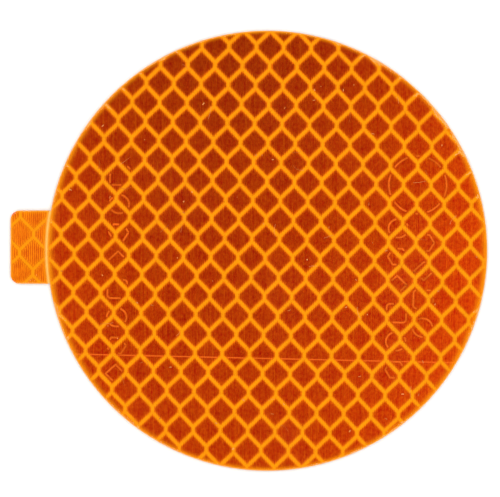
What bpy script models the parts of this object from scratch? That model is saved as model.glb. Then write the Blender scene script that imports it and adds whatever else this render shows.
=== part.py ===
"""Round stick-on prismatic reflector on its release liner, with a finger-lift tab.

A 3 in disc of amber, air-backed prismatic sheeting lies face up on a siliconised liner. At -X the
liner runs on as a short tab, which still carries the offcut of sheeting that the kiss cut left there.

The origin is the disc's centre on the liner's underside. +Z points out of the reflective face and
-X towards the tab. All lengths are in metres.
"""

import math

import bmesh
import bpy
from mathutils import Matrix, Vector

MM = 0.001

# Disc and tab outlines
DISC_RADIUS = 38.1 * MM
TAB_REACH = 6.35 * MM
TAB_WIDTH = 12.7 * MM
TAB_OFFSET_Y = 0.63 * MM
TAB_CORNER_RADIUS = 1.59 * MM
KERF = 0.30 * MM

# The liner is parted at the tab's root, so that the tab can turn
LINER_SPLIT = 0.10 * MM

# Layers, from the surface that the object lies on upwards
LINER_THICKNESS = 0.12 * MM
ADHESIVE_THICKNESS = 0.08 * MM
BACKING_THICKNESS = 0.06 * MM
AIR_CELL_DEPTH = 0.10 * MM
PRISM_FILM_THICKNESS = 0.14 * MM
COVER_THICKNESS = 0.08 * MM
LAYER_GAP = 0.01 * MM

# Ruled prisms on the underside of the prism film
PRISM_PITCH = 0.343 * MM
PRISM_DEPTH = 0.10 * MM
RULED_REACH = 46.0 * MM

# Seal lattice: rows of six-sided cells, each row shifted by half a cell
CELL_PITCH_X = 4.73 * MM
CELL_PITCH_Y = 6.65 * MM
SEAL_WIDTH = 0.78 * MM
EDGE_SEAL = 0.30 * MM
LATTICE_TURN = math.radians(-1.31)
LATTICE_START = Vector((-0.295, 1.99)) * MM
SMALLEST_CELL = 0.5 * MM

# Facets
CIRCLE_STEPS = 96
CORNER_STEPS = 4
ARC_STEP = 2.0 * math.pi / CIRCLE_STEPS
CLOSEST_POINTS = 0.03 * MM
WELD_DISTANCE = 1e-7

# Ends of the tab
TAB_TOP = TAB_OFFSET_Y + TAB_WIDTH / 2
TAB_BOTTOM = TAB_OFFSET_Y - TAB_WIDTH / 2
TAB_END_X = -(DISC_RADIUS + TAB_REACH)
TAB_INNER_RADIUS = DISC_RADIUS + KERF

COLLECTION_NAME = "prismatic_reflector"
CUTTER_COLLECTION_NAME = "cutters"

# Base colour in linear RGB, roughness, metallic
FINISHES = {
    "clear_film": ((0.90, 0.35, 0.05), 0.12, 0.0),
    "prism_film": ((0.45, 0.05, 0.002), 0.25, 0.0),
    "seal": ((0.95, 0.32, 0.005), 0.45, 0.0),
    "backing": ((0.85, 0.85, 0.82), 0.5, 0.0),
    "adhesive": ((0.80, 0.79, 0.72), 0.6, 0.0),
    "liner": ((0.88, 0.87, 0.84), 0.45, 0.0),
}


def clear_scene():
    for item in list(bpy.data.objects):
        bpy.data.objects.remove(item, do_unlink=True)


def make_collection(name):
    collection = bpy.data.collections.new(name)
    bpy.context.scene.collection.children.link(collection)
    return collection


def make_material(name, finish):
    colour, roughness, metallic = FINISHES[finish]
    material = bpy.data.materials.new(name)
    material.use_nodes = True
    shader = material.node_tree.nodes["Principled BSDF"]
    shader.inputs["Base Color"].default_value = (*colour, 1.0)
    shader.inputs["Roughness"].default_value = roughness
    shader.inputs["Metallic"].default_value = metallic
    material.diffuse_color = (*colour, 1.0)
    return material


def move_to_collection(item, collection):
    for owner in list(item.users_collection):
        owner.objects.unlink(item)
    collection.objects.link(item)


def finish_part(part, name, finish, parent, collection):
    """Name the part, give it its material and hang it under its body's empty."""
    part.name = name
    part.data.name = name
    part.data.materials.clear()
    part.data.materials.append(make_material(name, finish))
    move_to_collection(part, collection)
    part.parent = parent
    part.matrix_parent_inverse = parent.matrix_world.inverted()
    return part


def arc(radius, start, end, centre=(0.0, 0.0), steps=None):
    """Points along a circle from one angle to another, both ends included."""
    if steps is None:
        steps = max(1, math.ceil(abs(end - start) / ARC_STEP - 1e-6))
    points = []
    for step in range(steps + 1):
        angle = start + (end - start) * step / steps
        points.append(Vector((centre[0] + radius * math.cos(angle), centre[1] + radius * math.sin(angle))))
    return points


def left_angle(radius, y):
    """Angle of the point at height y on the left half of a circle about the origin."""
    return math.pi - math.asin(y / radius)


def circle_outline():
    return arc(DISC_RADIUS, 0.0, 2.0 * math.pi, steps=CIRCLE_STEPS)[:-1]


def liner_outline():
    """The disc's circle, with a ledge of liner under the kerf where the tab begins."""
    ledge_radius = TAB_INNER_RADIUS - LINER_SPLIT
    round_the_disc = arc(
        DISC_RADIUS, left_angle(DISC_RADIUS, TAB_BOTTOM), 2.0 * math.pi + left_angle(DISC_RADIUS, TAB_TOP)
    )
    ledge = arc(ledge_radius, left_angle(ledge_radius, TAB_TOP), left_angle(ledge_radius, TAB_BOTTOM))
    return round_the_disc + ledge


def tab_outline():
    """The tab: concave along the kerf, with two rounded outer corners."""
    corner_x = TAB_END_X + TAB_CORNER_RADIUS
    top_corner = (corner_x, TAB_TOP - TAB_CORNER_RADIUS)
    bottom_corner = (corner_x, TAB_BOTTOM + TAB_CORNER_RADIUS)
    kerf_side = arc(
        TAB_INNER_RADIUS, left_angle(TAB_INNER_RADIUS, TAB_BOTTOM), left_angle(TAB_INNER_RADIUS, TAB_TOP)
    )
    outer_top = arc(TAB_CORNER_RADIUS, math.pi / 2, math.pi, top_corner, CORNER_STEPS)
    outer_bottom = arc(TAB_CORNER_RADIUS, math.pi, 1.5 * math.pi, bottom_corner, CORNER_STEPS)
    return kerf_side + outer_top + outer_bottom


def thin_out(outline):
    """Drop points that lie closer to the one before than the facets need."""
    kept = []
    for point in outline:
        if not kept or (point - kept[-1]).length > CLOSEST_POINTS:
            kept.append(point)
    while len(kept) > 1 and (kept[0] - kept[-1]).length <= CLOSEST_POINTS:
        kept.pop()
    return kept


def extruded(outlines, thickness, placement):
    """A closed solid: the first outline is its edge, the others are openings, extruded both ways."""
    data = bpy.data.curves.new("outline", "CURVE")
    data.dimensions = "2D"
    data.fill_mode = "BOTH"
    data.extrude = thickness / 2
    for outline in outlines:
        spline = data.splines.new("POLY")
        spline.points.add(len(outline) - 1)
        for spline_point, point in zip(spline.points, outline):
            spline_point.co = (point.x, point.y, 0.0, 1.0)
        spline.use_cyclic_u = True
    curve = bpy.data.objects.new("outline", data)
    curve.matrix_world = placement
    bpy.context.scene.collection.objects.link(curve)
    bpy.context.view_layer.update()

    evaluated = curve.evaluated_get(bpy.context.evaluated_depsgraph_get())
    mesh = bpy.data.meshes.new_from_object(evaluated)
    shell = bmesh.new()
    shell.from_mesh(mesh)
    bmesh.ops.remove_doubles(shell, verts=shell.verts, dist=WELD_DISTANCE)
    bmesh.ops.recalc_face_normals(shell, faces=shell.faces)
    shell.to_mesh(mesh)
    shell.free()

    solid = bpy.data.objects.new("solid", mesh)
    solid.matrix_world = curve.matrix_world.copy()
    bpy.context.scene.collection.objects.link(solid)
    bpy.data.objects.remove(curve, do_unlink=True)
    bpy.context.view_layer.update()
    return solid


def sheet_from_outlines(outlines, bottom, thickness):
    """A flat sheet above a height: the first outline is its edge, the others are openings."""
    return extruded(outlines, thickness, Matrix.Translation((0.0, 0.0, bottom + thickness / 2)))


def ruled_profile():
    """Cross-section of the ruled film: flat on top, with a row of V grooves underneath."""
    half_pitch = PRISM_PITCH / 2
    count = math.ceil(RULED_REACH / half_pitch)
    top = PRISM_FILM_THICKNESS
    profile = [Vector((count * half_pitch, top)), Vector((-count * half_pitch, top))]
    for step in range(-count, count + 1):
        height = PRISM_DEPTH if step % 2 else 0.0
        profile.append(Vector((step * half_pitch, height)))
    return profile


def ruled_sheet(edge, bottom, cutters):
    """The ruled film: the grooved section drawn out along the ruling and cut to its edge."""
    upright = Matrix.Rotation(math.pi / 2, 4, "X")
    turned = Matrix.Rotation(LATTICE_TURN, 4, "Z") @ upright
    film = extruded([ruled_profile()], 2 * RULED_REACH, Matrix.Translation((0.0, 0.0, bottom)) @ turned)
    cutter = sheet_from_outlines([edge], bottom - PRISM_DEPTH, PRISM_FILM_THICKNESS + 2 * PRISM_DEPTH)
    cutter.name = "film_edge"
    cutter.hide_render = True
    cutter.display_type = "WIRE"
    move_to_collection(cutter, cutters)
    trim = film.modifiers.new("trim", "BOOLEAN")
    trim.operation = "INTERSECT"
    trim.solver = "EXACT"
    trim.object = cutter
    return film


def cell_opening():
    """Half a lattice bar inside the cell's centre lines: six corners, anticlockwise, about its centre."""
    half_x = CELL_PITCH_X / 2 - SEAL_WIDTH / 2
    apex_y = (CELL_PITCH_X + CELL_PITCH_Y) / 4 - SEAL_WIDTH / math.sqrt(2.0)
    shoulder_y = apex_y - half_x
    return [
        Vector((half_x, -shoulder_y)),
        Vector((half_x, shoulder_y)),
        Vector((0.0, apex_y)),
        Vector((-half_x, shoulder_y)),
        Vector((-half_x, -shoulder_y)),
        Vector((0.0, -apex_y)),
    ]


def cell_centres(reach):
    """Centres of all cells of the staggered lattice out to a distance from the origin."""
    along_x = Vector((math.cos(LATTICE_TURN), math.sin(LATTICE_TURN)))
    along_y = Vector((-along_x.y, along_x.x))
    columns = math.ceil(reach / CELL_PITCH_X) + 1
    rows = math.ceil(reach / CELL_PITCH_Y) + 1
    centres = []
    for row in range(-rows, rows + 1):
        for column in range(-columns, columns + 1):
            for shift in (0.0, 0.5):
                across = LATTICE_START.x + (column + shift) * CELL_PITCH_X
                up = LATTICE_START.y + (row + shift) * CELL_PITCH_Y
                centres.append(along_x * across + along_y * up)
    return centres


def cell_openings(reach):
    """Every cell's opening, in place."""
    turned = []
    for corner in cell_opening():
        turned.append(Vector((
            corner.x * math.cos(LATTICE_TURN) - corner.y * math.sin(LATTICE_TURN),
            corner.x * math.sin(LATTICE_TURN) + corner.y * math.cos(LATTICE_TURN),
        )))
    return [[centre + corner for corner in turned] for centre in cell_centres(reach)]


def circle_crossings(start, end, radius):
    """Where the line from start to end crosses a circle about the origin, as fractions in order."""
    run = end - start
    a = run.dot(run)
    b = 2.0 * start.dot(run)
    c = start.dot(start) - radius * radius
    discriminant = b * b - 4.0 * a * c
    if a == 0.0 or discriminant <= 0.0:
        return []
    root = math.sqrt(discriminant)
    fractions = ((-b - root) / (2.0 * a), (-b + root) / (2.0 * a))
    return [fraction for fraction in fractions if 0.0 < fraction < 1.0]


def clip_by_circle(outline, radius, keep_inside):
    """Keep the stretch of an outline inside (or outside) a circle, closed along the circle."""

    def is_kept(point):
        return (point.length < radius) == keep_inside

    first = next((index for index, point in enumerate(outline) if is_kept(point)), None)
    if first is None:
        return []
    outline = outline[first:] + outline[:first]
    clipped = []
    inside = True
    exit_point = None
    for start, end in zip(outline, outline[1:] + outline[:1]):
        if inside:
            clipped.append(start)
        for fraction in circle_crossings(start, end, radius):
            crossing = start.lerp(end, fraction)
            if inside:
                exit_point = crossing
            else:
                leave = math.atan2(exit_point.y, exit_point.x)
                enter = math.atan2(crossing.y, crossing.x)
                enter += 2.0 * math.pi * round((leave - enter) / (2.0 * math.pi))
                clipped += arc(radius, leave, enter)
            inside = not inside
    return clipped


def clip_by_line(outline, point, outward):
    """Keep the part of a convex outline on the inner side of a line."""
    clipped = []
    for start, end in zip(outline, outline[1:] + outline[:1]):
        start_side = (start - point).dot(outward)
        end_side = (end - point).dot(outward)
        if start_side <= 0.0:
            clipped.append(start)
        if start_side * end_side < 0.0:
            clipped.append(start.lerp(end, start_side / (start_side - end_side)))
    return clipped


def outline_area(outline):
    total = 0.0
    for start, end in zip(outline, outline[1:] + outline[:1]):
        total += start.x * end.y - end.x * start.y
    return abs(total) / 2.0


def usable(outlines):
    """Openings that are large enough to be a cell, with close points dropped."""
    thinned = [thin_out(outline) for outline in outlines]
    return [outline for outline in thinned if len(outline) > 2 and outline_area(outline) > SMALLEST_CELL ** 2]


def disc_cells():
    inner_radius = DISC_RADIUS - EDGE_SEAL
    return usable(clip_by_circle(cell, inner_radius, True) for cell in cell_openings(DISC_RADIUS))


def tab_cells():
    """Cells of the same lattice that fall on the tab, inside its edge seal."""
    diagonal = math.sqrt(0.5)
    corner_x = TAB_END_X + TAB_CORNER_RADIUS
    corner_reach = (TAB_CORNER_RADIUS - EDGE_SEAL) * diagonal
    edges = (
        (Vector((TAB_END_X + EDGE_SEAL, 0.0)), Vector((-1.0, 0.0))),
        (Vector((0.0, TAB_TOP - EDGE_SEAL)), Vector((0.0, 1.0))),
        (Vector((0.0, TAB_BOTTOM + EDGE_SEAL)), Vector((0.0, -1.0))),
        (Vector((corner_x - corner_reach, TAB_TOP - TAB_CORNER_RADIUS + corner_reach)),
         Vector((-diagonal, diagonal))),
        (Vector((corner_x - corner_reach, TAB_BOTTOM + TAB_CORNER_RADIUS - corner_reach)),
         Vector((-diagonal, -diagonal))),
    )
    cells = []
    for cell in cell_openings(DISC_RADIUS + TAB_REACH):
        for point, outward in edges:
            cell = clip_by_line(cell, point, outward)
        cells.append(clip_by_circle(cell, TAB_INNER_RADIUS + EDGE_SEAL, False))
    on_the_tab = [cell for cell in cells if cell and max(point.x for point in cell) < 0.0]
    return usable(on_the_tab)


def make_empty(name, location, collection):
    empty = bpy.data.objects.new(name, None)
    empty.location = location
    empty.empty_display_size = 5.0 * MM
    collection.objects.link(empty)
    bpy.context.view_layer.update()
    return empty


def stack_layers(edge, cells, names, parent, collection, cutters):
    """The five layers of sheeting above the liner, each a sheet of the given outline."""
    thicknesses = (
        (ADHESIVE_THICKNESS, "adhesive"),
        (BACKING_THICKNESS, "backing"),
        (AIR_CELL_DEPTH, "seal"),
        (PRISM_FILM_THICKNESS, "prism_film"),
        (COVER_THICKNESS, "clear_film"),
    )
    bottom = LINER_THICKNESS + LAYER_GAP
    for name, (thickness, finish) in zip(names, thicknesses):
        openings = cells if finish == "seal" else []
        if finish == "prism_film":
            sheet = ruled_sheet(edge, bottom, cutters)
        else:
            sheet = sheet_from_outlines([edge] + openings, bottom, thickness)
        finish_part(sheet, name, finish, parent, collection)
        bottom += thickness + LAYER_GAP


def main():
    clear_scene()
    collection = make_collection(COLLECTION_NAME)
    cutters = make_collection(CUTTER_COLLECTION_NAME)

    # The reflector lifts off its liner about its far edge; the tab bends up where the disc ends
    adhesive_bottom = LINER_THICKNESS + LAYER_GAP
    liner_body = make_empty("liner_body", (0.0, 0.0, 0.0), collection)
    reflector_body = make_empty("reflector_body", (DISC_RADIUS, 0.0, adhesive_bottom), collection)
    tab_body = make_empty("tab_body", (-DISC_RADIUS, 0.0, LINER_THICKNESS / 2), collection)

    liner = sheet_from_outlines([liner_outline()], 0.0, LINER_THICKNESS)
    finish_part(liner, "release_liner", "liner", liner_body, collection)
    stack_layers(
        circle_outline(),
        disc_cells(),
        ("adhesive_layer", "backing_film", "seal_lattice", "prism_film", "cover_film"),
        reflector_body,
        collection,
        cutters,
    )

    liner_tab = sheet_from_outlines([tab_outline()], 0.0, LINER_THICKNESS)
    finish_part(liner_tab, "liner_tab", "liner", tab_body, collection)
    stack_layers(
        tab_outline(),
        tab_cells(),
        ("tab_adhesive", "tab_backing_film", "tab_seal_lattice", "tab_prism_film", "tab_cover_film"),
        tab_body,
        collection,
        cutters,
    )


main()
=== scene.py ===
import math
import random

import bmesh
import bpy
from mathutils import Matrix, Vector
from mathutils.geometry import tessellate_polygon


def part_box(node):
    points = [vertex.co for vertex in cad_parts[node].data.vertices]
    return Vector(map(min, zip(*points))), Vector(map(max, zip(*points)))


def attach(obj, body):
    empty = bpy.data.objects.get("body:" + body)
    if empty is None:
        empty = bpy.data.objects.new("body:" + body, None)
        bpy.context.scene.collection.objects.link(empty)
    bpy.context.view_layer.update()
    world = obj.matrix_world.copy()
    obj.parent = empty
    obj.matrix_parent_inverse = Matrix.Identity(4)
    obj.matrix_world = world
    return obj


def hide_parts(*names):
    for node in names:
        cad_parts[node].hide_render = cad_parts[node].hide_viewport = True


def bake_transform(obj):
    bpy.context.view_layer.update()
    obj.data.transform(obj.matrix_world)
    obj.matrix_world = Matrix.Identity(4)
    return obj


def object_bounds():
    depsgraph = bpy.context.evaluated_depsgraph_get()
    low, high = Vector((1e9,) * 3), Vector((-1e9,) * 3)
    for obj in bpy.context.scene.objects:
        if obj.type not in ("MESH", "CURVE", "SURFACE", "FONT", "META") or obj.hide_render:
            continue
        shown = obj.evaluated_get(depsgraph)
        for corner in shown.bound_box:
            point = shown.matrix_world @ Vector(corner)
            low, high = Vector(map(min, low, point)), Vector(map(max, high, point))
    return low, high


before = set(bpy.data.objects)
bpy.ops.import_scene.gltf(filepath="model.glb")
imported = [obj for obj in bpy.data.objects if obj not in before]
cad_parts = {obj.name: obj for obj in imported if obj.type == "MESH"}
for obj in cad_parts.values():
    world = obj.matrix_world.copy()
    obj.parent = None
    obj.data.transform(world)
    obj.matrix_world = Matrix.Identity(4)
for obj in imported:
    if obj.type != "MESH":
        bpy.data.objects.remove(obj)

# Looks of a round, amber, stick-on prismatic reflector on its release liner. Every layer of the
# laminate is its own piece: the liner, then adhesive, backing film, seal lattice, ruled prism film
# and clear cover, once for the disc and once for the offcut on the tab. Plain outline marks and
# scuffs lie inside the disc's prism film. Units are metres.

MM = 0.001
CAD_LOW, CAD_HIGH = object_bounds()

# Outlines, read from the frame
DISC_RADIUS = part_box("cover_film")[1].x
TAB_LOW, TAB_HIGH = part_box("tab_cover_film")
KERF_OUTER_RADIUS = math.hypot(TAB_HIGH.x, TAB_HIGH.y)
TAB_CORNER_RADIUS = 1.59 * MM

# Seal lattice: rows of six-sided cells, each row shifted by half a cell
CELL_PITCH_X = 4.73 * MM
CELL_PITCH_Y = 6.65 * MM
SEAL_WIDTH = 0.78 * MM
EDGE_SEAL = 0.22 * MM
CELL_CORNER = 0.14 * MM
SMALLEST_CELL = 0.35 * MM
LATTICE_TURN = math.radians(-1.31)
LATTICE_START = Vector((-0.295, 1.99)) * MM
ALONG_X = Vector((math.cos(LATTICE_TURN), math.sin(LATTICE_TURN)))
ALONG_Y = Vector((-ALONG_X.y, ALONG_X.x))

# Ruled prisms, drawn out along ALONG_Y
PRISM_PITCH = 0.343 * MM
PRISM_DEPTH = 0.090 * MM
LAND_STEP = 0.003 * MM

# Surface relief
QUILT_HEIGHT = 0.016 * MM
ADHESIVE_QUILT_HEIGHT = 0.022 * MM
QUILT_RINGS = ((0.06, 0.30), (0.16, 0.68), (0.30, 0.92), (0.52, 1.0))
EDGE_ROLL = 0.05 * MM
EDGE_SHOULDER = 0.4 * EDGE_ROLL
LARGEST_ROLL_SHARE = 0.3
SEAL_SHOULDER = 0.035 * MM
SEAL_CLEARANCE = 0.03 * MM
LAYER_GAP = 0.01 * MM

# Joint between two tools in the prism film's ruling
SEAM_HEIGHT = -18.65 * MM
SEAM_WIDTH = 0.22 * MM

# Facets
DISC_STEPS = 360
KERF_STEPS = 32
CORNER_STEPS = 8
CELL_CORNER_POINTS = 4
CLIP_ARC_STEP = math.radians(1.5)
SMOOTH_ANGLE = math.radians(30.0)

# Corners that turn less than this stay sharp; a rounded one takes at most this share of a side
LEAST_TURN = math.radians(20.0)
CORNER_SHARE = 0.42

# Points nearer than these count as one; ON_THE_LINE is in half prisms
CLOSE_POINTS = 0.01 * MM
CLOSE_CUTS = 0.0002 * MM
WELD_DISTANCE = 1e-7
ON_THE_LINE = 1e-4


def heights(node):
    """A CAD node's lowest and highest z."""
    low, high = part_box(node)
    return low.z, high.z


# ---------------------------------------------------------------------------------------------
# Outlines
# ---------------------------------------------------------------------------------------------

def arc(radius, start, end, steps, centre=(0.0, 0.0)):
    """Points along a circle from one angle to another, both ends included."""
    points = []
    for step in range(steps + 1):
        angle = start + (end - start) * step / steps
        points.append(Vector((centre[0] + radius * math.cos(angle), centre[1] + radius * math.sin(angle))))
    return points


def left_angle(radius, y):
    """Angle of the point at height y on the left half of a circle about the origin."""
    return math.pi - math.asin(y / radius)


def disc_outline(inset=0.0):
    return arc(DISC_RADIUS - inset, 0.0, 2.0 * math.pi, DISC_STEPS)[:-1]


def outer_corners(inset):
    """The tab's two rounded outer corners, from its top edge to its bottom edge."""
    radius = TAB_CORNER_RADIUS - inset
    corner_x = TAB_LOW.x + TAB_CORNER_RADIUS
    top = (corner_x, TAB_HIGH.y - TAB_CORNER_RADIUS)
    bottom = (corner_x, TAB_LOW.y + TAB_CORNER_RADIUS)
    return (arc(radius, math.pi / 2, math.pi, CORNER_STEPS, top)
            + arc(radius, math.pi, 1.5 * math.pi, CORNER_STEPS, bottom))


def tab_outline(inset=0.0):
    """The tab: concave along the kerf, with two rounded outer corners."""
    radius = KERF_OUTER_RADIUS + inset
    start = left_angle(radius, TAB_LOW.y + inset)
    end = left_angle(radius, TAB_HIGH.y - inset)
    return arc(radius, start, end, KERF_STEPS) + outer_corners(inset)


def liner_outline():
    """Disc and tab in one: the liner isn't cut by the kerf."""
    start = left_angle(DISC_RADIUS, TAB_LOW.y)
    end = 2.0 * math.pi + left_angle(DISC_RADIUS, TAB_HIGH.y)
    return arc(DISC_RADIUS, start, end, DISC_STEPS) + outer_corners(0.0)


def rounded(outline, reach):
    """The outline with its sharp corners replaced by curves that start at most reach from them."""
    result = []
    count = len(outline)
    for index, corner in enumerate(outline):
        before = outline[index - 1] - corner
        after = outline[(index + 1) % count] - corner
        turn = math.pi - before.angle(after, 0.0)
        if turn < LEAST_TURN:
            result.append(corner)
            continue
        start = corner + before.normalized() * min(reach, CORNER_SHARE * before.length)
        end = corner + after.normalized() * min(reach, CORNER_SHARE * after.length)
        for step in range(CELL_CORNER_POINTS + 1):
            t = step / CELL_CORNER_POINTS
            result.append(start * (1 - t) ** 2 + corner * (2 * t * (1 - t)) + end * t ** 2)
    return result


def without_close_points(outline, distance=CLOSE_POINTS):
    kept = []
    for point in outline:
        if not kept or (point - kept[-1]).length > distance:
            kept.append(point)
    while len(kept) > 1 and (kept[0] - kept[-1]).length <= distance:
        kept.pop()
    return kept


def area(outline):
    total = 0.0
    for start, end in zip(outline, outline[1:] + outline[:1]):
        total += start.x * end.y - end.x * start.y
    return abs(total) / 2.0


def middle(outline):
    return sum(outline, Vector((0.0, 0.0))) / len(outline)


def scaled(outline, factor):
    """The outline grown or shrunk about its middle."""
    centre = middle(outline)
    return [centre + (point - centre) * factor for point in outline]


def clip_by_line(outline, point, outward):
    """Keep the part of a convex outline on the inner side of a line."""
    clipped = []
    for start, end in zip(outline, outline[1:] + outline[:1]):
        start_side = (start - point).dot(outward)
        end_side = (end - point).dot(outward)
        if start_side <= 0.0:
            clipped.append(start)
        if start_side * end_side < 0.0:
            clipped.append(start.lerp(end, start_side / (start_side - end_side)))
    return clipped


def circle_crossings(start, end, radius):
    """Where the line from start to end crosses a circle about the origin, as fractions in order."""
    run = end - start
    a = run.dot(run)
    b = 2.0 * start.dot(run)
    discriminant = b * b - 4.0 * a * (start.dot(start) - radius * radius)
    if a == 0.0 or discriminant <= 0.0:
        return []
    root = math.sqrt(discriminant)
    fractions = ((-b - root) / (2.0 * a), (-b + root) / (2.0 * a))
    return [fraction for fraction in fractions if 0.0 < fraction < 1.0]


def clip_by_circle(outline, radius, keep_inside):
    """Keep the part of a convex outline inside a circle, or outside it up to the circle's chord."""

    def is_kept(point):
        return (point.length < radius) == keep_inside

    first = next((index for index, point in enumerate(outline) if is_kept(point)), None)
    if first is None:
        return []
    outline = outline[first:] + outline[:first]
    clipped = []
    kept = True
    left_at = None
    for start, end in zip(outline, outline[1:] + outline[:1]):
        if kept:
            clipped.append(start)
        for fraction in circle_crossings(start, end, radius):
            crossing = start.lerp(end, fraction)
            if kept:
                left_at = crossing
            elif keep_inside:
                leave = math.atan2(left_at.y, left_at.x)
                enter = math.atan2(crossing.y, crossing.x)
                enter += 2.0 * math.pi * round((leave - enter) / (2.0 * math.pi))
                steps = max(1, math.ceil(abs(enter - leave) / CLIP_ARC_STEP))
                clipped += arc(radius, leave, enter, steps)
            else:
                clipped += [left_at, crossing]
            kept = not kept
    return clipped


def cell_openings(reach):
    """The opening of every lattice cell within reach of the origin, anticlockwise."""
    half_x = CELL_PITCH_X / 2 - SEAL_WIDTH / 2
    apex_y = (CELL_PITCH_X + CELL_PITCH_Y) / 4 - SEAL_WIDTH / math.sqrt(2.0)
    shoulder_y = apex_y - half_x
    corners = (
        (half_x, -shoulder_y), (half_x, shoulder_y), (0.0, apex_y),
        (-half_x, shoulder_y), (-half_x, -shoulder_y), (0.0, -apex_y),
    )
    columns = math.ceil(reach / CELL_PITCH_X) + 1
    rows = math.ceil(reach / CELL_PITCH_Y) + 1
    openings = []
    for row in range(-rows, rows + 1):
        for column in range(-columns, columns + 1):
            for shift in (0.0, 0.5):
                across = LATTICE_START.x + (column + shift) * CELL_PITCH_X
                up = LATTICE_START.y + (row + shift) * CELL_PITCH_Y
                openings.append([ALONG_X * (across + x) + ALONG_Y * (up + y) for x, y in corners])
    return openings


def finished_cells(outlines):
    cells = []
    for outline in outlines:
        cell = without_close_points(rounded(without_close_points(outline), CELL_CORNER))
        if len(cell) > 2 and area(cell) > SMALLEST_CELL ** 2:
            cells.append(cell)
    return cells


def disc_cells():
    radius = DISC_RADIUS - EDGE_SEAL
    return finished_cells(clip_by_circle(cell, radius, True) for cell in cell_openings(DISC_RADIUS))


def tab_cells():
    """Cells of the same lattice that fall on the tab, inside its edge seal."""
    diagonal = math.sqrt(0.5)
    corner_x = TAB_LOW.x + TAB_CORNER_RADIUS
    reach = (TAB_CORNER_RADIUS - EDGE_SEAL) * diagonal
    edges = (
        ((TAB_LOW.x + EDGE_SEAL, 0.0), (-1.0, 0.0)),
        ((0.0, TAB_HIGH.y - EDGE_SEAL), (0.0, 1.0)),
        ((0.0, TAB_LOW.y + EDGE_SEAL), (0.0, -1.0)),
        ((corner_x - reach, TAB_HIGH.y - TAB_CORNER_RADIUS + reach), (-diagonal, diagonal)),
        ((corner_x - reach, TAB_LOW.y + TAB_CORNER_RADIUS - reach), (-diagonal, -diagonal)),
    )
    cells = []
    for cell in cell_openings(-TAB_LOW.x):
        for point, outward in edges:
            cell = clip_by_line(cell, Vector(point), Vector(outward))
        if cell and middle(cell).x < 0.0:
            cells.append(clip_by_circle(cell, KERF_OUTER_RADIUS + EDGE_SEAL, False))
    return finished_cells(cells)


# ---------------------------------------------------------------------------------------------
# Meshes
# ---------------------------------------------------------------------------------------------

def at_height(outline, z):
    return [Vector((point.x, point.y, z)) for point in outline]


class Shell:
    """Faces gathered by their corner points, then welded into one mesh."""

    def __init__(self):
        self.points = []
        self.faces = []
        self.slots = []

    def face(self, corners, slot=0):
        first = len(self.points)
        self.points += corners
        self.faces.append(range(first, first + len(corners)))
        self.slots.append(slot)

    def wall(self, one, other, slot=0):
        """Quads between two rings with the same number of points."""
        for index in range(len(one)):
            after = (index + 1) % len(one)
            self.face([one[index], one[after], other[after], other[index]], slot)

    def region(self, outlines, slot=0):
        """A flat face: the first outline is its edge and the others are holes."""
        flat = [point for outline in outlines for point in outline]
        for triangle in tessellate_polygon(outlines):
            self.face([flat[index] for index in triangle], slot)

    def build(self, name):
        mesh = bpy.data.meshes.new(name)
        mesh.from_pydata([tuple(point) for point in self.points], [], [list(face) for face in self.faces])
        mesh.polygons.foreach_set("material_index", self.slots)
        work = bmesh.new()
        work.from_mesh(mesh)
        bmesh.ops.remove_doubles(work, verts=work.verts, dist=WELD_DISTANCE)
        bmesh.ops.recalc_face_normals(work, faces=work.faces)
        work.to_mesh(mesh)
        work.free()
        return mesh


def add_piece(mesh, materials, smooth=False):
    """An object named like its mesh."""
    piece = bpy.data.objects.new(mesh.name, mesh)
    bpy.context.scene.collection.objects.link(piece)
    for material in materials:
        mesh.materials.append(material)
    if smooth:
        mesh.shade_smooth()
        mesh.set_sharp_from_angle(angle=SMOOTH_ANGLE)
    return piece


def quilt(shell, cells, base, rise):
    """A shallow pillow over each cell, from the seal lines at base up to base plus rise."""
    for cell in cells:
        ring = at_height(cell, base)
        for shrink, share in QUILT_RINGS:
            inner = at_height(scaled(cell, 1.0 - shrink), base + rise * share)
            shell.wall(ring, inner)
            ring = inner
        shell.face(ring)


def plain_sheet_mesh(name, outline_of, low, high):
    """A film with a slightly rolled cut edge on both faces."""
    roll = min(EDGE_ROLL, (high - low) * LARGEST_ROLL_SHARE)
    outer = outline_of(0.0)
    inner = outline_of(roll)
    shell = Shell()
    rings = (at_height(inner, low), at_height(outer, low + roll),
             at_height(outer, high - roll), at_height(inner, high))
    for one, other in zip(rings, rings[1:]):
        shell.wall(one, other)
    shell.region([rings[0]])
    shell.region([rings[-1]])
    return shell.build(name)


def quilted_sheet_mesh(name, outline_of, cells, flat, crest, rise):
    """A film that is flat on one face and quilted by the seal lattice on the other.

    Slot 0 is the quilted face, slot 1 the flat face and slot 2 the cut edge.
    """
    side = 1.0 if crest > flat else -1.0
    base = crest - side * rise
    outer = outline_of(0.0)
    shoulder = at_height(outer, base - side * EDGE_SHOULDER)
    inner = at_height(outline_of(EDGE_ROLL), base)
    shell = Shell()
    shell.wall(at_height(outer, flat), shoulder, 2)
    shell.wall(shoulder, inner, 0)
    shell.region([inner] + [at_height(cell, base) for cell in cells], 0)
    quilt(shell, cells, base, side * rise)
    shell.region([at_height(outer, flat)], 1)
    return shell.build(name)


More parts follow.
